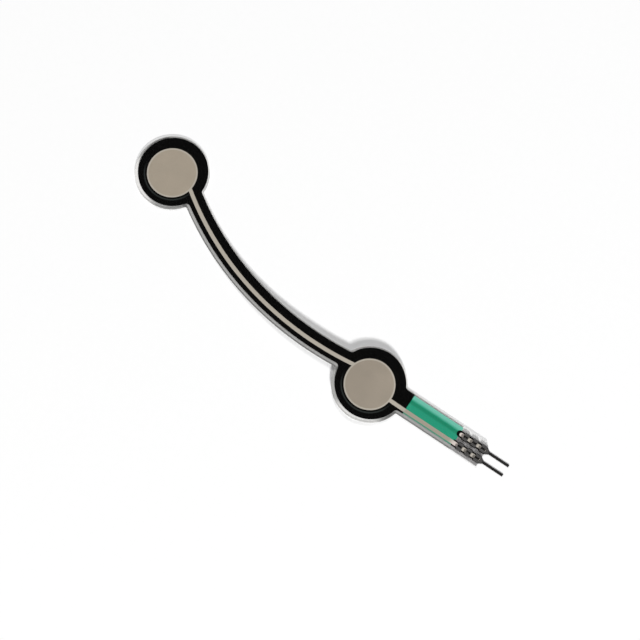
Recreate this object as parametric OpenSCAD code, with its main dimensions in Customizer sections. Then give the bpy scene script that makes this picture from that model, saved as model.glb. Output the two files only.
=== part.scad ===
// Force sensing resistor with two round sensing pads, in millimetres.
// The end pad lies at the origin, flat on the table plane z = 0.
// A curved neck leads to the second pad, and a straight tail runs along +X to two solder pins.
// The laminate is printed film: two clear films face each other, with silver tracks and ink
// printed on their inner faces, and a clear adhesive spacer holds them apart.

/* [Sensing pads] */
// Diameter of the silver electrode of a pad
disc_d = 11.9; // [8:0.1:16]
// Width of the gap from the silver electrode to the edge of the spacer's window
window_gap = 0.55; // [0.2:0.05:1.2]
// Width of the black ring from the window to the edge of the print
ring_w = 1.75; // [0.8:0.05:4]
// Lap of the lower ink past the silver electrode
ink_lap = 0.3; // [0.1:0.05:0.5]
// Clear film left around the black print of the pads and the neck
film_margin = 0.55; // [0.4:0.05:0.7]
// Shift of the black and green prints from the silver, along the tail
print_shift_x = 0.05; // [0:0.05:0.25]
// Shift of the black and green prints from the silver, across the tail
print_shift_y = 0.3; // [0:0.05:0.3]

/* [Curved neck] */
// Radius of the arc on which both pads lie
orbit_r = 79.4; // [60:0.1:120]
// Angle of that arc between the pads
span_deg = 50.8; // [40:0.1:60]
// Width of the print on the neck
neck_w = 3.8; // [3:0.1:6]
// Distance of the neck's centre line from the pads' arc, towards the arc's centre
neck_inset = 2.8; // [1:0.1:3.5]
// Distance of the silver track from the pads' arc, towards the arc's centre
track_inset = 2.7; // [1:0.1:3.2]
// Width of the silver tracks
track_w = 0.9; // [0.5:0.05:1.2]
// Radius of the print's inner corners, where a neck or the tail meets a pad
fillet_r = 1; // [0.8:0.05:2]

/* [Tail] */
// Turn from the arc's tangent at the second pad to the tail
tail_turn = 11.7; // [0:0.1:20]
// Film left beside the contacts, which sets the tail's width
tail_edge = 0.68; // [0.5:0.02:1.5]
// Offset of the tail's centre line from the second pad's centre
tail_shift = 0.95; // [0:0.05:1.5]
// Offset of the contact pair from the tail's centre line, towards the near edge
pair_shift = 0.1; // [0:0.01:0.4]
// Distance from the second pad's centre to the end of the black print
black_l = 9.9; // [9.5:0.1:20]
// Length of the green insulating print
green_l = 13.4; // [8:0.1:40]
// Clear film left beside the black print of the tail
black_margin = 0.42; // [0.3:0.02:0.7]
// Clear film left beside the green print
green_margin = 0.6; // [0.3:0.05:0.8]
// Corner cut off the tail's end beside the far contact
corner_cut = 0.8; // [0.2:0.1:0.8]
// Width of the air vent in the spacer
vent_w = 0.3; // [0.2:0.05:0.4]

/* [Contacts] */
// Pitch of the two contacts
pitch = 2.54; // [2.5:0.01:3.2]
// Width of a contact's base plate
plate_w = 1.95; // [1.6:0.05:2.2]
// Thickness of the contact metal
plate_t = 0.2; // [0.15:0.01:0.3]
// Pairs of tines on a contact
tine_pairs = 3; // [2:1:4]
// Distance from one pair of tines to the next
tine_pitch = 2.35; // [1.9:0.05:3]
// Length of a tine at its root
tine_root = 1.3; // [1.2:0.1:1.7]
// Length of a tine at its tip
tine_tip = 1.2; // [0.4:0.1:1.2]
// Thickness of a tine
tine_t = 0.15; // [0.1:0.01:0.18]
// Gap between facing tine tips
tip_gap = 0.1; // [0.04:0.02:0.3]
// Clearance of a tine in its slot in the films
slot_gap = 0.02; // [0.01:0.01:0.05]
// Length of the taper from the base plate to the pin
taper_l = 1; // [0.5:0.1:2]
// Width of a solder pin
pin_w = 0.64; // [0.4:0.02:0.8]
// Length of a solder pin
pin_l = 5.3; // [3:0.1:12]
// Width of the silver under a contact
land_w = 0.85; // [0.6:0.05:1]
// Black border around that silver
land_border = 0.35; // [0.2:0.05:0.5]
// Lap of the far land's border over the green print
land_lap = 0.7; // [0.3:0.05:1]
// Distance from the green print to the contacts' base plates
land_l = 1; // [0.9:0.1:3]
// Film past the base plates at the tail's end
end_margin = 0.1; // [0.1:0.05:0.5]

/* [Layers] */
// Thickness of each clear film
film_t = 0.1; // [0.05:0.01:0.2]
// Thickness of the silver print
silver_t = 0.02; // [0.01:0.005:0.04]
// Thickness of the ink and insulating prints
ink_t = 0.02; // [0.01:0.005:0.04]
// Air gap between the facing inks of a pad
air_t = 0.08; // [0.04:0.01:0.15]
// Thickness of the mounting adhesive
adhesive_t = 0.05; // [0.03:0.01:0.15]
// Thickness of the release liner
liner_t = 0.1; // [0.05:0.01:0.2]

/* [Bow] */
// Rise of the second pad above the table
lift = 1.2; // [0.5:0.1:3]
// Length of level film on the table past the end pad's edge
level_l = 4; // [1:0.5:10]
// Length over which the neck rises
rise_l = 38; // [25:1:45]
// Level film left of the second pad's centre line that stays on top of the bow
crest_back = 1; // [0:0.5:4]
// Length over which the film comes down again
fall_l = 11; // [8:0.5:16]

/* [Hidden] */
$fn = 96;
arc_fn = 720;
deep = 10;

// Sizes that follow from the driving ones
window_r = disc_d / 2 + window_gap;
pad_r = window_r + ring_w;
tail_w = pitch + plate_w + 2 * (tail_edge + pair_shift);
black_w = tail_w - 2 * black_margin;
green_w = tail_w - 2 * green_margin;
neck_r = orbit_r - neck_inset;
track_r = orbit_r - track_inset;

// Centre of the arc, and angles and centres of the two pads about it
pad_deg = [tail_turn - 90 - span_deg, tail_turn - 90];
arc_c = -orbit_r * [cos(pad_deg[0]), sin(pad_deg[0])];
pads = [for (a = pad_deg) arc_c + orbit_r * [cos(a), sin(a)]];
root = pads[1];

// Stations along the tail, as distances in X from the second pad's centre
green_end = black_l + green_l;
plate_start = green_end + land_l;
plate_end = plate_start + (tine_pairs - 1) * tine_pitch + tine_root + 2 * slot_gap;
film_end = plate_end + end_margin;
pin_start = plate_end + taper_l;
tail_y = tail_shift;
near_y = tail_y - pair_shift - pitch / 2;
far_y = near_y + pitch;

// Heights above the liner's underside, from the table up
z_film = liner_t + adhesive_t;
z_silver = z_film + film_t;
z_ink = z_silver + silver_t;
z_gap = z_ink + ink_t;
z_top_ink = z_gap + air_t;
z_top_silver = z_top_ink + ink_t;
z_top_film = z_top_silver + silver_t;
z_top = z_top_film + film_t;

// Side profile of the bow: height added at a distance x along the part
rise_x = pad_r + film_margin + level_l;
crest_x = root.x - crest_back;
table_z = plate_t - z_film;
function ease(u) = u * u * (3 - 2 * u);
function bow(x) =
    x <= rise_x ? 0 :
    x < rise_x + rise_l ? lift * ease((x - rise_x) / rise_l) :
    x <= crest_x ? lift :
    x < crest_x + fall_l ? lift + (table_z - lift) * ease((x - crest_x) / fall_l) :
    table_z;
bow_steps = 12;
bow_x = concat(
    [-pad_r - deep],
    [for (i = [0:bow_steps]) rise_x + rise_l * i / bow_steps],
    [for (i = [0:bow_steps]) crest_x + fall_l * i / bow_steps],
    [root.x + film_end + deep]);

// Where two circles cross, on the left of the line between their centres for side 1
function meet(c1, r1, c2, r2, side) =
    let (v = c2 - c1, d = norm(v), u = v / d, a = (r1 * r1 - r2 * r2 + d * d) / (2 * d))
    c1 + a * u + side * sqrt(r1 * r1 - a * a) * [-u.y, u.x];

// Slice of the bowed laminate between two heights
module bowed(z0, z1) {
    low = [for (x = bow_x) [x, bow(x) + z0]];
    high = [for (i = [len(bow_x) - 1:-1:0]) [bow_x[i], bow(bow_x[i]) + z1]];
    intersection() {
        rotate([90, 0, 0]) linear_extrude(height = 4 * orbit_r, center = true) polygon(concat(low, high));
        translate([0, 0, -deep]) linear_extrude(height = 2 * deep) children();
    }
}

// Flat ring sector about the arc's centre, which ends inside both pads
module sector(r0, r1) {
    reach = 2 * orbit_r;
    past = 1.5;
    mid = (pad_deg[0] + pad_deg[1]) / 2;
    rays = [for (a = [pad_deg[0] - past, mid, pad_deg[1] + past]) arc_c + reach * [cos(a), sin(a)]];
    intersection() {
        translate(arc_c) difference() {
            circle(r = r1, $fn = arc_fn);
            circle(r = r0, $fn = arc_fn);
        }
        polygon(concat([arc_c], rays));
    }
}

// Straight stretch along the tail between two stations, centred on y
module lane(x0, x1, y, w) {
    translate([root.x + x0, root.y + y - w / 2]) square([x1 - x0, w]);
}

// Rounded inner corners of an outline: for each, its pad, the fillet's centre and a point
// inside the neck or the tail
function neck_corners(grow, r) = [for (i = [0, 1], edge = [-1, 1])
    let (edge_r = neck_r + edge * (neck_w / 2 + grow + r),
        f = meet(arc_c, edge_r, pads[i], pad_r + grow + r, 1 - 2 * i))
    [pads[i], f, arc_c + neck_r * (f - arc_c) / norm(f - arc_c)]];
function tail_corners(grow, w, r) = [for (edge = [-1, 1])
    let (y = tail_y + edge * (w / 2 + r),
        f = root + [sqrt(pow(pad_r + grow + r, 2) - y * y), y])
    [root, f, [f.x, root.y + tail_y]]];

// Triangle whose points run anticlockwise
function turned(p) = cross(p[1] - p[0], p[2] - p[0]) > 0 ? p : [p[0], p[2], p[1]];

// Outline of both pads and the neck, grown evenly by a margin, and of the tail as far as x_end
// in a width of its own. The fillet circles bite a hair past the edges, so that they cross them
// and never just touch.
module outline(grow, w, x_end) {
    r = fillet_r - grow;
    bite = 0.01;
    corners = concat(neck_corners(grow, r), tail_corners(grow, w, r));
    difference() {
        union() {
            for (p = pads) translate(p) circle(r = pad_r + grow);
            sector(neck_r - neck_w / 2 - grow, neck_r + neck_w / 2 + grow);
            lane(0, x_end, tail_y, w);
            for (c = corners) polygon(turned([0.9 * c[0] + 0.1 * c[1], c[1], c[2]]));
        }
        for (c = corners) translate(c[1]) circle(r = r + bite);
    }
}

// Outline of the clear films, with one corner of the tail's end cut off
module film_outline() {
    difference() {
        outline(film_margin, tail_w, film_end);
        translate([root.x + film_end, root.y + tail_y + tail_w / 2])
            rotate([0, 0, 45]) square(corner_cut * sqrt(2), center = true);
    }
}

// Silver electrode: a disc on each pad, the neck's track and a track along the tail
module electrode(y, x_end) {
    for (p = pads) translate(p) circle(d = disc_d);
    sector(track_r - track_w / 2, track_r + track_w / 2);
    lane(0, x_end, y, track_w);
}

// Round-ended land around a contact, from a station to the end of the contact
module land(x0, y, w) {
    lane(x0 + w / 2, plate_end, y, w);
    translate([root.x + x0 + w / 2, root.y + y]) circle(d = w);
}

// Plans of the black and the green print, which are set off from the silver
module black_plan() {
    translate([print_shift_x, print_shift_y]) outline(0, black_w, black_l);
}

module green_plan() {
    translate([print_shift_x, print_shift_y]) lane(black_l, green_end, tail_y, green_w);
}

module windows() {
    for (p = pads) translate(p) circle(r = window_r);
}

// Air vent: from window to window along the neck, and out between the contacts
module vent() {
    y = (near_y + far_y) / 2;
    r = track_r - track_w / 2 - vent_w;
    sector(r - vent_w / 2, r + vent_w / 2);
    lane(0, film_end + deep, y, vent_w);
}

function tine_x(i) = plate_start + slot_gap + tine_root / 2 + i * tine_pitch;

// Slots for the tines of both contacts
module slots() {
    for (y = [near_y, far_y], side = [-1, 1], i = [0:tine_pairs - 1])
        translate([root.x + tine_x(i), root.y + y + side * (plate_w - tine_t) / 2])
            square([tine_root + 2 * slot_gap, tine_t + 2 * slot_gap], center = true);
}

// Black land borders, one round-ended and one square, which both lap the green print
module land_borders() {
    w = land_w + 2 * land_border;
    land(green_end - land_lap, far_y, w);
    lane(green_end - land_lap / 2, plate_end, near_y, w);
}

// Silver land of the far contact, apart from the electrode
module far_land() {
    land(green_end - land_lap + 2 * land_border, far_y, land_w);
}

module release_liner() {
    color("ivory") bowed(0, liner_t) outline(film_margin, tail_w, green_end);
}

module mounting_adhesive() {
    color("lightgray") bowed(liner_t, z_film) outline(film_margin, tail_w, green_end);
}

module lower_film() {
    color("gainsboro") bowed(z_film, z_silver) difference() {
        film_outline();
        slots();
    }
}

module lower_electrode() {
    color("silver") bowed(z_silver, z_ink) difference() {
        electrode(far_y, plate_end);
        slots();
    }
}

// Resistive ink over each lower disc, lapping past its edge down to the film
module lower_ink_pads() {
    color("dimgray") difference() {
        bowed(z_silver, z_gap) for (p = pads) translate(p) circle(d = disc_d + 2 * ink_lap);
        bowed(z_silver - deep, z_ink) electrode(far_y, plate_end);
    }
}

// Clear adhesive that fills the space between the films and the prints
module spacer_adhesive() {
    color("whitesmoke") difference() {
        bowed(z_silver, z_top_film) difference() {
            film_outline();
            windows();
            vent();
            slots();
        }
        bowed(z_silver - deep, z_ink) electrode(far_y, plate_end);
        bowed(z_silver - deep, z_gap) for (p = pads) translate(p) circle(d = disc_d + 2 * ink_lap);
        bowed(z_top_ink, z_top + deep) {
            black_plan();
            green_plan();
            land_borders();
        }
    }
}

// Black resistive ink, seen through the clear upper film around the silver
module upper_ink_print() {
    color("black") difference() {
        bowed(z_top_ink, z_top_film) black_plan();
        bowed(z_top_silver, z_top_film + deep) electrode(near_y, plate_end);
    }
}

module green_insulator() {
    color("seagreen") difference() {
        bowed(z_top_ink, z_top_film) difference() {
            green_plan();
            land_borders();
        }
        bowed(z_top_silver, z_top_film + deep) electrode(near_y, plate_end);
    }
}

// Black ink around the silver under each contact
module contact_inks() {
    color("black") difference() {
        bowed(z_top_ink, z_top_film) difference() {
            land_borders();
            slots();
        }
        bowed(z_top_silver, z_top_film + deep) {
            electrode(near_y, plate_end);
            far_land();
        }
    }
}

module upper_electrode() {
    color("silver") bowed(z_top_silver, z_top_film) difference() {
        electrode(near_y, plate_end);
        slots();
    }
}

// Separate silver land on the upper film under the far contact
module land_bridge() {
    color("silver") bowed(z_top_silver, z_top_film) difference() {
        far_land();
        slots();
    }
}

module upper_film() {
    color("gainsboro") bowed(z_top_film, z_top) difference() {
        film_outline();
        slots();
    }
}

// Cross-section of one pair of tines: legs up through the films, curled in over the upper film
module curls() {
    film_z = table_z + z_top;
    r = (plate_w - tip_gap) / 4;
    z = film_z + tine_t / 3;
    for (side = [-1, 1]) {
        y = side * (plate_w / 2 - r);
        intersection() {
            translate([y, z]) difference() {
                circle(r = r);
                circle(r = r - tine_t);
            }
            translate([y - r, z]) square([2 * r, r]);
        }
        translate([side * (plate_w - tine_t) / 2 - tine_t / 2, plate_t / 2]) square([tine_t, z - plate_t / 2]);
        translate([side * (tip_gap + tine_t) / 2 - tine_t / 2, film_z]) square([tine_t, z - film_z]);
    }
}

// Plan of one pair of tines: wide at the roots and narrow at the tips
module tine_plan() {
    root_l = tine_root / 2;
    tip_l = tine_tip / 2;
    edge = plate_w / 2;
    leg = edge - tine_t;
    polygon([[root_l, edge], [root_l, leg], [tip_l, 0], [root_l, -leg], [root_l, -edge],
        [-root_l, -edge], [-root_l, -leg], [-tip_l, 0], [-root_l, leg], [-root_l, edge]]);
}

// Crimped contact: base plate under the films, tines curled over them, and a flat solder pin
module contact(y) {
    color("dimgray") translate([root.x, root.y + y, 0]) {
        linear_extrude(height = plate_t) {
            translate([plate_start, -plate_w / 2]) square([plate_end - plate_start, plate_w]);
            polygon([[plate_end, plate_w / 2], [pin_start, pin_w / 2],
                [pin_start, -pin_w / 2], [plate_end, -plate_w / 2]]);
            translate([pin_start, -pin_w / 2]) square([pin_l, pin_w]);
        }
        for (i = [0:tine_pairs - 1]) translate([tine_x(i), 0, 0]) intersection() {
            rotate([90, 0, 90]) linear_extrude(height = tine_root, center = true) curls();
            linear_extrude(height = deep) tine_plan();
        }
    }
}

module near_contact() {
    contact(near_y);
}

module far_contact() {
    contact(far_y);
}

release_liner();
mounting_adhesive();
lower_film();
lower_electrode();
lower_ink_pads();
spacer_adhesive();
upper_ink_print();
green_insulator();
contact_inks();
upper_electrode();
land_bridge();
upper_film();
near_contact();
far_contact();
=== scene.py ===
# %% [markdown]
# # A printed film force sensor
# The sensor is a stack of thin clear films with printed silver, black and green layers between
# them. Its solids were built in CAD and arrive here as the frame, one Blender object per layer.
# They could be modelled again by hand, but the CAD shapes are exact, so this lesson keeps them. It
# gives each layer its real finish, turns the four clear layers into sheets, and sets up the
# camera, the table and the light. Everything is in metres.

# %% Load the frame
import bpy, bmesh, math
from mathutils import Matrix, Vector


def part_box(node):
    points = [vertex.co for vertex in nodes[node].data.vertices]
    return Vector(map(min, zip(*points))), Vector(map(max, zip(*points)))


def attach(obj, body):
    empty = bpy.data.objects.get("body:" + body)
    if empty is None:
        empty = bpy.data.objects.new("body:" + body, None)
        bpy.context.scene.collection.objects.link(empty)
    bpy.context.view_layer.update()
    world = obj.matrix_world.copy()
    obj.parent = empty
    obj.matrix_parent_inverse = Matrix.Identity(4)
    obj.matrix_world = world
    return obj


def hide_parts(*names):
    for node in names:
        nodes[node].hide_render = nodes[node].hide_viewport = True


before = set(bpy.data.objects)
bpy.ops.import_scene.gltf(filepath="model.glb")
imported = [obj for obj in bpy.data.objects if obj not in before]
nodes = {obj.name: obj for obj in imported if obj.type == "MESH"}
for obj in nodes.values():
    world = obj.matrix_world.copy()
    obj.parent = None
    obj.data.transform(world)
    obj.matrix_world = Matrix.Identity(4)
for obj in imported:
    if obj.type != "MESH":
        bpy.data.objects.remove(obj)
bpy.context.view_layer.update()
MM = 0.001
TO_MM = 1000


def in_mm(vector, digits=1):
    """A vector in metres as rounded millimetres, for the lines that the cells print."""
    return [round(v * TO_MM, digits) for v in vector]


# %% [markdown]
# ## Where things are
# The prints sit at places that the CAD model fixed. They could be typed again here, but then the
# two could drift apart, so they are measured from the nodes. The two lower ink pads give the pads'
# centres: each is a disc, and the far one ends where its node ends. Both pads lie on one arc, and
# only its radius is written as a number, because no node's box shows it.

# %% Measure the pads and their arc
ink_low, ink_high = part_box("lower_ink_pads")
ink_r = -ink_low.x
pad1 = Vector((0, 0, 0))
pad2 = Vector((ink_high.x - ink_r, ink_low.y + ink_r, 0))
orbit_r = 79.4 * MM
half = (pad2 - pad1) / 2
half_to_centre = math.sqrt(orbit_r ** 2 - half.length_squared)
arc_c = half + Vector((-half.y, half.x, 0)).normalized() * half_to_centre
print("second pad at", in_mm(pad2, 2), "- the arc's centre at", in_mm(arc_c, 2))

# %% Measure the tail and the contacts
black_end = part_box("green_insulator")[0].x
green_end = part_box("release_liner")[1].x
near_low, near_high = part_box("near_contact")
far_low, far_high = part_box("far_contact")
near_y = (near_low.y + near_high.y) / 2
far_y = (far_low.y + far_high.y) / 2
print("the green print runs from", *in_mm((black_end, green_end)), "mm, the contacts are",
      *in_mm((far_y - near_y,), 2), "mm apart")

# %% [markdown]
# ## The camera
# The photo was taken from high above, a little from the near side. The view could be tried by
# eye, but the camera's place and lens come from fitting the two pads, the neck and the pins to the
# photo. It is 450 mm away, where one millimetre takes 4.33 pixels. A helper puts a thing on a
# sphere around a point and turns it to face that point, and the lamps use it as well.

# %% A helper that aims
def aim(thing, target, azimuth, elevation, distance):
    """Places a camera or lamp, by degrees round and up from the target, and turns it to face it."""
    turn, rise = math.radians(azimuth), math.radians(elevation)
    direction = Vector((math.cos(rise) * math.cos(turn), math.cos(rise) * math.sin(turn),
                        math.sin(rise)))
    thing.location = target + direction * distance
    thing.rotation_euler = (-direction).to_track_quat("-Z", "Y").to_euler()
    bpy.context.scene.collection.objects.link(thing)


print("the aiming helper is ready")

# %% Place the camera
sensor_mm, picture_px = 36, 640
away_mm, px_per_mm = 450, 4.33
camera_data = bpy.data.cameras.new("photo_camera")
camera_data.sensor_width = sensor_mm
camera_data.lens = sensor_mm * px_per_mm * away_mm / picture_px
camera = bpy.data.objects.new("photo_camera", camera_data)
aim(camera, Vector((48.26, -9.80, 0)) * MM, -56.1, 79, away_mm * MM)
bpy.context.scene.camera = camera
print("camera at", in_mm(camera.location), "mm - lens", round(camera_data.lens, 1), "mm")

# %% [markdown]
# ## Shader maths as plain expressions
# Procedural materials are mostly arithmetic on masks. Wiring Math nodes by hand hides that, so a
# small class wraps a node's output and turns +, - and * into Math nodes. One method, `node`, makes
# any other node: its settings first, then the values or links of its sockets.

# %% A value that can be calculated with
class Value:
    def __init__(self, tree, socket):
        self.tree, self.socket = tree, socket

    def _math(self, operation, a, b):
        return Shader(self.tree).node("ShaderNodeMath", {"operation": operation}, {0: a, 1: b})

    def __add__(self, other): return self._math("ADD", self, other)
    def __radd__(self, other): return self._math("ADD", other, self)
    def __sub__(self, other): return self._math("SUBTRACT", self, other)
    def __rsub__(self, other): return self._math("SUBTRACT", other, self)
    def __mul__(self, other): return self._math("MULTIPLY", self, other)
    def __rmul__(self, other): return self._math("MULTIPLY", other, self)


print("values can be added, subtracted and multiplied")

# %% A shader tree that makes nodes
class Shader:
    def __init__(self, tree):
        self.tree = tree

    def node(self, kind, settings=None, sockets=None, output=0):
        made = self.tree.nodes.new(kind)
        for name, value in (settings or {}).items():
            setattr(made, name, value)
        for name, value in (sockets or {}).items():
            if isinstance(value, Value):
                self.tree.links.new(value.socket, made.inputs[name])
            else:
                made.inputs[name].default_value = value
        return Value(self.tree, made.outputs[output]) if made.outputs else None

    def mix(self, mask, a, b):
        """Colour a where the mask is 0, and colour b where it is 1."""
        a, b = [(*c, 1) if isinstance(c, tuple) else c for c in (a, b)]
        return self.node("ShaderNodeMix", {"data_type": "RGBA"}, {0: mask, 6: a, 7: b}, output=2)

    def ramp(self, value, low, high, to_low=0.0, to_high=1.0):
        """A soft step from to_low, where the value is low, to to_high, where it is high."""
        return self.node("ShaderNodeMapRange", {"interpolation_type": "SMOOTHSTEP"},
                         {0: value, 1: low, 2: high, 3: to_low, 4: to_high})


print("shader trees can make nodes")

# %% A colour as a picture program names it
def srgb(r, g, b):
    """Red, green and blue from 0 to 255, as the linear numbers that Blender wants."""
    return tuple(c / 255 / 12.92 if c <= 10.3 else ((c / 255 + 0.055) / 1.055) ** 2.4
                 for c in (r, g, b))


print("srgb(157, 146, 128) is", [round(v, 3) for v in srgb(157, 146, 128)])

# %% [markdown]
# ## Helpers for finishes
# Every finish of the sensor is one Principled shader. What varies over it is placed by object
# coordinates, which are true metres here because each CAD object sits at the origin. UV maps
# could place it too, but CAD meshes come without them. Distances from a pad or a contact are
# turned into millimetres, which are easier to read.

# %% Start a material and finish it
def finish_of(name):
    """A new material, and its empty shader tree."""
    material = bpy.data.materials.new(name)
    material.use_nodes = True
    material.node_tree.nodes.clear()
    return material, Shader(material.node_tree)


def finish_with(shader, sockets):
    """Adds the Principled shader with these sockets, and the output that it feeds."""
    surface = shader.node("ShaderNodeBsdfPrincipled", {}, sockets)
    shader.node("ShaderNodeOutputMaterial", {}, {"Surface": surface})


print("materials can be started and finished")

# %% Say where a spot lies
def place(shader):
    return shader.node("ShaderNodeTexCoord", output="Object")


def part_of(shader, vector, axis):
    """The X, Y or Z of a vector."""
    return shader.node("ShaderNodeSeparateXYZ", {}, {"Vector": vector}, output=axis)


def radius_from(shader, point, centre):
    """Distance in millimetres from a centre, in plan."""
    flat = shader.node("ShaderNodeVectorMath", {"operation": "MULTIPLY"},
                       {0: point, 1: (TO_MM, TO_MM, 0)})
    return shader.node("ShaderNodeVectorMath", {"operation": "DISTANCE"},
                       {0: flat, 1: (centre.x * TO_MM, centre.y * TO_MM, 0)}, output="Value")


def nearest_pad(shader, point):
    return shader.node("ShaderNodeMath", {"operation": "MINIMUM"},
                       {0: radius_from(shader, point, pad1), 1: radius_from(shader, point, pad2)})


print("spots can be found along the tail, across it and around a pad")

# %% Grain and relief
def noise(shader, point, size_mm, detail=3.0):
    return shader.node("ShaderNodeTexNoise", {},
                       {"Vector": point, "Scale": 1 / (size_mm * MM), "Detail": detail})


def bumped(shader, height, strength, depth_mm):
    return shader.node("ShaderNodeBump", {},
                       {"Strength": strength, "Distance": depth_mm * MM, "Height": height})


print("finishes can have grain and relief")

# %% [markdown]
# ## Silver print
# Screen-printed silver is matt and finely grained. Over the pads the dark sensing ink behind it
# makes it a warm grey brown inside a narrow paler rim, and on the second pad it is painted a little
# darker, which is painted shade. The neck's track is paler. It is duller over the green print,
# palest where it leaves the green for its contact, and a darker grey in the contact's openings,
# which is painted shade of the crimps round them. Each of these could be a material of its own,
# but it is one print on one film, so one material tells its places apart by masks.

# %% Find the places on the silver
ink_lap_mm = 0.3
disc_r = ink_r * TO_MM - ink_lap_mm
silver, s = finish_of("printed_silver")
point = place(s)
x = part_of(s, point, "X")
in_disc = s.ramp(nearest_pad(s, point), disc_r - 0.42, disc_r - 0.28, 1.0, 0.0)
on_second = s.ramp(x, 20 * MM, 50 * MM)
over_green = s.ramp(x, black_end - 0.2 * MM, black_end + 0.3 * MM)
past_green = s.ramp(x, green_end - 1.5 * MM, green_end + 0.2 * MM)
openings_painted_shade = s.ramp(x, near_low.x, near_low.x + 0.4 * MM)
print("a silver disc is", round(2 * disc_r, 1), "mm across")

# %% Colour the silver
grain = noise(s, point, 0.16)
cloud = noise(s, point, 4.0, 2.0)
track = s.mix(over_green, srgb(180, 173, 161), srgb(164, 156, 142))
track = s.mix(past_green, track, srgb(222, 210, 203))
# The darker grey in the contact's openings is painted shade of the crimps round them.
track = s.mix(openings_painted_shade, track, srgb(190, 184, 174))
first_disc = s.mix(cloud, srgb(158, 148, 133), srgb(170, 158, 142))
# The second disc is painted a little darker: painted shade.
second_disc_painted_shade = s.mix(cloud, srgb(146, 137, 124), srgb(160, 149, 135))
plain = s.mix(in_disc, track, s.mix(on_second, first_disc, second_disc_painted_shade))
speckle = (grain - 0.5) * 0.35 + 0.12
finish_with(s, {"Base Color": s.mix(speckle, plain, srgb(120, 112, 98)),
                "Roughness": grain * 0.2 + 0.42, "Specular IOR Level": 0.0,
                "Coat Weight": 0.2, "Coat Roughness": 0.1,
                "Normal": bumped(s, grain, 0.12, 0.01)})
print("silver print:", len(silver.node_tree.nodes), "nodes")

# %% [markdown]
# ## Black ink
# The resistive carbon ink is nearly black and very even. Where the spacer's window ends under the
# film, a faint raised ring runs around each disc, and it catches the light on the side towards the
# viewer. The ring could be modelled, but it is far flatter than it is wide, so a mask gives it a
# bump and a slightly paler colour, a painted highlight, on that side only.

# %% Find the windows' rings, with their painted highlight
window_gap_mm = 0.55
window_r = disc_r + window_gap_mm
black, s = finish_of("carbon_ink")
point = place(s)
y = part_of(s, point, "Y")


def ring_bump_and_highlight_on(pad):
    """1 on the crest of the ring, and only on the pad's near side: its bump and painted highlight.
    """
    r = radius_from(s, point, pad)
    crest = s.ramp(r, window_r - 0.25, window_r) * s.ramp(r, window_r, window_r + 0.3, 1.0, 0.0)
    return crest * s.ramp((pad.y - y) * TO_MM, 0.5, 4.5)


ring_bump_and_highlight = ring_bump_and_highlight_on(pad1) + ring_bump_and_highlight_on(pad2)
print("a window is", round(2 * window_r, 1), "mm across")

# %% Colour the black ink
grain = noise(s, point, 0.2)
patch = noise(s, point, 6.0, 2.0)
base = s.mix(patch, (0.0005, 0.0005, 0.00055), (0.0012, 0.00115, 0.0011))
# The ring's paler colour on the near side is a painted highlight.
finish_with(s, {"Base Color": s.mix(ring_bump_and_highlight * 0.8, base, (0.028, 0.033, 0.031)),
                "Roughness": grain * 0.15 + 0.42, "Specular IOR Level": 0.0,
                "Coat Weight": 0.03, "Coat Roughness": 0.1,
                "Normal": bumped(s, ring_bump_and_highlight + grain * 0.15, 0.25, 0.02)})
print("black ink:", len(black.node_tree.nodes), "nodes")

# %% [markdown]
# ## Green insulating print
# The green print is slightly see-through. The lower film's track runs behind it as a darker
# stripe in line with the far contact. Beyond the stripe, towards the far edge, the print is paler,
# a painted glare of the lamps on the film, and the narrow strip on the near side of the upper
# track is greyer. Light could really pass through the print, but five thin layers would make that
# slow and noisy, so these places are coloured by masks. A slow wave keeps their edges from being
# ruler-straight.

# %% Find the places on the green print
green, s = finish_of("green_insulating_ink")
point = place(s)
y = part_of(s, point, "Y")
wave = noise(s, point, 3.0, 2.0)
wave_mm = 0.15
past_far = (y - far_y) * TO_MM + (wave - 0.5) * wave_mm
stripe = s.ramp(past_far, -0.8, -0.2) * s.ramp(past_far, 0.15, 0.45, 1.0, 0.0)
pale_glare = s.ramp(past_far, 0.25, 1.0)
near_strip = s.ramp((near_y - y) * TO_MM, 0.3, 0.5)
print("the darker stripe is centred near y =", *in_mm((far_y,)), "mm")

# %% Colour the green print
grain = noise(s, point, 0.25)
body = s.mix(wave, srgb(32, 144, 112), srgb(40, 153, 122))
colour = s.mix(stripe, body, srgb(22, 130, 97))
# The pale band beyond the stripe is a painted glare.
colour = s.mix(pale_glare, colour, srgb(108, 190, 168))
colour = s.mix(near_strip, colour, srgb(82, 146, 122))
speckle = (grain - 0.5) * 0.2 + 0.06
finish_with(s, {"Base Color": s.mix(speckle, colour, srgb(15, 105, 78)),
                "Roughness": grain * 0.15 + 0.38, "Specular IOR Level": 0.0,
                "Coat Weight": 0.2, "Coat Roughness": 0.1,
                "Normal": bumped(s, grain, 0.1, 0.01)})
print("green print:", len(green.node_tree.nodes), "nodes")
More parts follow.
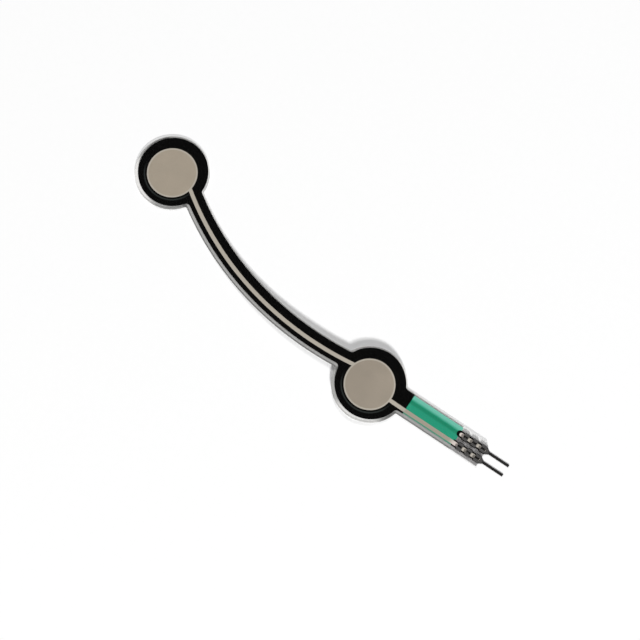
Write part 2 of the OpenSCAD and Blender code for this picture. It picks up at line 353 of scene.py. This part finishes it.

# %% [markdown]
# ## Clear film and adhesive
# Polyester film this thin bends light so little that it needs no glass shader: a plain shader
# with low alpha looks right and lets light reach the prints below. Cut edges scatter light, so
# side walls are more solid, and a face whose true normal lies flat is a side wall. Around the
# contacts, whose tines pinch the laminate, the lower film is a mottled grey: painted shade of the
# contacts. Along the tail's far margin it is a pale haze, which also paints light over the
# print's shadow on the liner.

# %% A helper for clear plastic
def clear(name, tint, face_alpha, edge_tint, edge_alpha, rough, painted_light_share=0.0, gloss=0.5):
    material, s = finish_of(name)
    point = place(s)
    x, y = part_of(s, point, "X"), part_of(s, point, "Y")
    true_normal = s.node("ShaderNodeNewGeometry", output="True Normal")
    upright = s.node("ShaderNodeMath", {"operation": "ABSOLUTE"},
                     {0: part_of(s, true_normal, "Z")})
    edge = s.ramp(upright, 0.85, 0.97, 1.0, 0.0)
    far_side = s.ramp((y - far_y) * TO_MM, 0.8, 1.5)
    far_margin = s.ramp(x, black_end - 1 * MM, black_end + 1 * MM) * far_side
    at_contacts = s.ramp(x, green_end - 0.1 * MM, green_end + 0.1 * MM) * (1 - far_margin)
    haze = noise(s, point, 2.5, 3.0)
    dust = noise(s, point, 0.3, 2.0)
    clouded = ((haze - 0.5) * (face_alpha * 0.6) + face_alpha) * (1 - far_margin * 0.7)
    # Extra alpha for the painted shade round the contacts and the painted light on the far margin.
    painted_light_alpha = (at_contacts * (dust * 0.3 + 0.85) + far_margin * 0.4) * painted_light_share
    alpha = edge * (edge_alpha - face_alpha) + (painted_light_alpha + clouded)
    # The far margin's pale colour is painted light; the tint shown round the contacts is painted
    # shade.
    colour = s.mix(edge, s.mix(far_margin, tint, (0.92, 0.92, 0.91)), edge_tint)
    finish_with(s, {"Base Color": colour, "Roughness": dust * 0.1 + rough, "IOR": 1.6,
                    "Specular IOR Level": gloss, "Alpha": alpha})
    return material


print("clear plastic can be made")

# %% [markdown]
# ## Three clear materials
# The upper film is the clearest. It has no gloss of its own, because the prints under it already
# carry the shine and a second one would put white specks on the black. The lower film is greyer,
# and the adhesive is warmer and softer. One helper makes all three, so they differ only in numbers.

# %% Make the films and the adhesive
top_film = clear("clear_top_polyester", (0.08, 0.078, 0.076), 0.01,
                 (0.16, 0.16, 0.155), 0.8, 0.12, gloss=0.0)
# The lower film carries the painted shade round the contacts.
film = clear("clear_polyester", (0.3, 0.29, 0.29), 0.12,
             (0.35, 0.34, 0.33), 0.55, 0.12, painted_light_share=0.6)
adhesive = clear("clear_adhesive", (0.62, 0.58, 0.57), 0.08, (0.5, 0.48, 0.46), 0.5, 0.3)
print("made", top_film.name, "and", film.name, "and", adhesive.name)

# %% [markdown]
# ## Liner paper
# The coated paper liner is off-white with fine fibres. It shows only through the clear margins.
# On the outer side of the neck and pads, and on the tail's near side, the margin shows a grey
# band of shade, with a thin darker rim along the neck and the tail for the film's cut edge and its
# shadow. Those could be left to real shadows, but they are about as fine as a pixel of the
# render, so two masks draw them on the liner as painted shade and a painted shadow.

# %% Find the margins on the liner
neck_inset_mm = 2.8
liner, s = finish_of("coated_paper")
point = place(s)
x, y = part_of(s, point, "X"), part_of(s, point, "Y")
outwards = radius_from(s, point, arc_c) - (orbit_r * TO_MM - neck_inset_mm)
towards_near = (near_y - y) * TO_MM
on_tail = s.ramp(x, black_end - 4 * MM, black_end - 2 * MM)
off_tail = 1 - on_tail
neck_shade_band = s.ramp(outwards, 1.0, 1.8) * s.ramp(outwards, 8.5, 10.5, 1.0, 0.0)
neck_edge_and_shadow_rim = s.ramp(outwards, 2.1, 2.25) * s.ramp(outwards, 2.9, 3.4, 1.0, 0.0)
shade_band = neck_shade_band * off_tail + on_tail * s.ramp(towards_near, 0.3, 0.6)
edge_and_shadow_rim = neck_edge_and_shadow_rim * off_tail + on_tail * s.ramp(towards_near, 1.35, 1.5)
print("the neck runs at", round(orbit_r * TO_MM - neck_inset_mm, 1), "mm from the arc's centre")

# %% Colour the liner
fibre = noise(s, point, 0.5, 4.0)
plain = s.mix(fibre, srgb(240, 239, 236), srgb(249, 248, 246))
# The grey band is painted shade, and the dark rim a painted cut edge with its shadow.
colour = s.mix(edge_and_shadow_rim, s.mix(shade_band, plain, srgb(172, 172, 170)), srgb(120, 120, 118))
finish_with(s, {"Base Color": colour, "Roughness": fibre * 0.15 + 0.5,
                "Normal": bumped(s, fibre, 0.2, 0.01)})
print("liner:", len(liner.node_tree.nodes), "nodes")

# %% [markdown]
# ## Contact metal
# The contacts are stamped from tinned strip. The tin is dull and grey, with fine rolling lines
# along the strip and small dark spots. The pins are painted darker than the crimps, which is
# painted shade against the lamps' shine on their flat tops. A brushed photo
# texture could give the lines, but a noise that is squeezed nine times across the strip does it
# without a picture.

# %% Make the contact metal
pin_mm, pin_blend_mm = 5.3, 0.5
metal, s = finish_of("tinned_strip")
point = place(s)
squeezed = s.node("ShaderNodeMapping", {}, {"Vector": point, "Scale": (1, 9, 9)})
rolled = noise(s, squeezed, 0.9, 4.0)
spots = noise(s, point, 0.22, 3.0)
dark = s.ramp(spots, 0.56, 0.7)
pin_root = near_high.x - pin_mm * MM
on_pin = s.ramp(part_of(s, point, "X"), pin_root - pin_blend_mm * MM, pin_root)
crimp = s.mix(rolled, (0.045, 0.044, 0.043), (0.11, 0.107, 0.105))
# The pins' darker colour is painted shade.
pin_painted_shade = s.mix(rolled, (0.014, 0.0135, 0.013), (0.028, 0.027, 0.026))
finish_with(s, {"Base Color": s.mix(dark, s.mix(on_pin, crimp, pin_painted_shade), (0.012, 0.0115, 0.011)),
                "Metallic": 1.0, "Roughness": dark * 0.15 + rolled * 0.12 + 0.16,
                "Normal": bumped(s, rolled + spots * 0.5, 0.15, 0.01)})
print("contact metal:", len(metal.node_tree.nodes), "nodes")

# %% [markdown]
# ## Dress the CAD nodes
# The layers' shapes are already right, so they keep their meshes and only get their finishes.
# New pieces could take over from them, but that would add nothing that the eye can see.

# %% Give each node its finish
for name, material in {
    "release_liner": liner, "mounting_adhesive": adhesive, "lower_film": film,
    "lower_electrode": silver, "lower_ink_pads": black, "spacer_adhesive": adhesive,
    "upper_ink_print": black, "green_insulator": green, "contact_inks": black,
    "upper_electrode": silver, "land_bridge": silver, "upper_film": top_film,
    "near_contact": metal, "far_contact": metal,
}.items():
    mesh = nodes[name].data
    mesh.materials.clear()
    mesh.materials.append(material)
print("dressed", len(nodes), "nodes")

# %% [markdown]
# ## Clear sheets
# Two solids that touch share a plane, and a ray that passes through clear film can miss the print
# that starts at the very same height. A stack of closed clear solids also takes more see-through
# hits than a render allows, and then goes dark. So each clear layer becomes a sheet of its own,
# built from its node's shape with its underside a hair above what it rests on. The top film stays
# whole, the bottom film keeps its underside and cut edges, and the two adhesives only their edges.

# %% A helper that makes a clear sheet
hair_mm, same_point_mm = 0.003, 0.0001
level = 0.7


def sheet_of(name, new_name, keep):
    grid = bmesh.new()
    grid.from_mesh(nodes[name].data)
    bmesh.ops.remove_doubles(grid, verts=grid.verts, dist=same_point_mm * MM)
    grid.normal_update()
    under = [f for f in grid.faces if f.normal.z < -level]
    for v in {v for f in under for v in f.verts}:
        v.co.z += hair_mm * MM
    top = [f for f in grid.faces if f.normal.z > level]
    gone = {"all": [], "under": top, "edges": top + under}[keep]
    bmesh.ops.delete(grid, geom=gone, context="FACES")
    for f in grid.faces:
        f.smooth = False
    mesh = bpy.data.meshes.new(new_name)
    grid.to_mesh(mesh)
    grid.free()
    mesh.materials.append(nodes[name].data.materials[0])
    made = bpy.data.objects.new(new_name, mesh)
    bpy.context.scene.collection.objects.link(made)
    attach(made, "root")
    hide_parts(name)
    return made


print("sheets lie", hair_mm, "mm above what they rest on")

# %% Build the clear sheets
for name, new_name, slot, keep in (
        ("upper_film", "top_film_sheet", "film", "all"),
        ("lower_film", "bottom_film_sheet", "film", "under"),
        ("spacer_adhesive", "spacer_sheet", "adhesive", "edges"),
        ("mounting_adhesive", "back_adhesive_sheet", "adhesive", "edges")):
    made = sheet_of(name, new_name, keep)
    print(new_name, len(made.data.polygons), "faces")

# %% [markdown]
# ## Contact edges
# Stamped and rolled strip has no sharp corners. They could be rounded in CAD, but a narrow bevel
# modifier on each contact catches the light along its edges just as well, and it leaves the CAD
# mesh as it is.

# %% Soften the contacts
for name in ("near_contact", "far_contact"):
    bevel = nodes[name].modifiers.new("rolled_edges", "BEVEL")
    bevel.width = 0.03 * MM
    bevel.segments = 2
    bevel.limit_method = "ANGLE"
    bevel.angle_limit = math.radians(35)
    print(name, "softened")

# %% [markdown]
# ## A white studio that adds no light
# The photo's background is white paper. More light would whiten a table and also bleach the
# sensor. Instead, a mask picks out the rays that reach the eye, straight from the camera, off
# gloss or metal, or through clear parts. Only for those rays do the table and the world look
# whiter, and the sensor is lit as before.

# %% A mask for what the eye sees
WHITE = (1, 1, 1, 1)


def seen_by_eye(shader):
    """1 for rays from the camera, off gloss or metal, and through clear parts."""
    camera_ray, glossy_ray, through_ray = [
        shader.node("ShaderNodeLightPath", output=kind)
        for kind in ("Is Camera Ray", "Is Glossy Ray", "Is Transmission Ray")]
    return camera_ray + glossy_ray + through_ray


print("the eye's mask is ready")

# %% [markdown]
# ## The table
# The sensor lies on plain white, a hair under its lowest face. The table is a wide flat grid, so
# that no edge of it shows from any side. It has a faint paper tooth, and the eye's mask lifts it
# to white without hiding the soft shadow on it.

# %% Lay the table
table_reach, table_drop, glow_share = 1.5, 0.00002, 0.14
grid = bmesh.new()
bmesh.ops.create_grid(grid, x_segments=4, y_segments=4, size=table_reach)
mesh = bpy.data.meshes.new("table")
grid.to_mesh(mesh)
grid.free()
floor = bpy.data.objects.new("table", mesh)
floor.location = (0.05, 0, -table_drop)
bpy.context.scene.collection.objects.link(floor)
print("the table is", 2 * table_reach, "m wide")

# %% Paper the table
paper, s = finish_of("white_table")
tooth = noise(s, place(s), 1.5, 2.0)
diffuse = s.node("ShaderNodeBsdfDiffuse", {},
                 {"Color": s.mix(tooth, (0.93, 0.93, 0.93), (0.95, 0.95, 0.95))})
glow = s.node("ShaderNodeEmission", {}, {"Color": WHITE, "Strength": 1.0})
mixed = s.node("ShaderNodeMixShader", {}, {0: seen_by_eye(s) * glow_share, 1: diffuse, 2: glow})
s.node("ShaderNodeOutputMaterial", {}, {"Surface": mixed})
floor.data.materials.append(paper)
print("table paper:", len(paper.node_tree.nodes), "nodes")

# %% [markdown]
# ## The lamps and the studio
# Two round lamps light the sensor. The low one stands at 36 degrees on the near side, towards
# the pins, and throws the pale shadow that shows how the neck bows off the table. The high one
# softens that shadow from the far side. Both are five metres away: closer lamps would do for
# the sensor, but they would leave the table unevenly white.

# %% Hang the lamps
lit_point, lamp_distance = Vector((0.045, -0.01, 0)), 5.0
for name, azimuth, elevation, across, watts in (("low_lamp", -47, 36, 0.60, 280),
                                                ("high_lamp", 124, 60, 0.80, 78)):
    data = bpy.data.lights.new(name, "AREA")
    data.shape, data.size, data.energy = "DISK", across, watts
    aim(bpy.data.objects.new(name, data), lit_point, azimuth, elevation, lamp_distance)
    print(name, "hangs at", elevation, "degrees")

# %% Light the studio
fill_strength, white_strength = 0.12, 1.0
world = bpy.data.worlds.new("studio")
bpy.context.scene.world = world
world.use_nodes = True
world.node_tree.nodes.clear()
s = Shader(world.node_tree)
fill, background = [s.node("ShaderNodeBackground", {}, {"Color": WHITE, "Strength": strength})
                    for strength in (fill_strength, white_strength)]
mixed = s.node("ShaderNodeMixShader", {}, {0: seen_by_eye(s), 1: fill, 2: background})
s.node("ShaderNodeOutputWorld", {}, {"Surface": mixed})
bpy.context.scene.view_settings.view_transform = "Standard"
print("a white studio with a fill of", fill_strength)
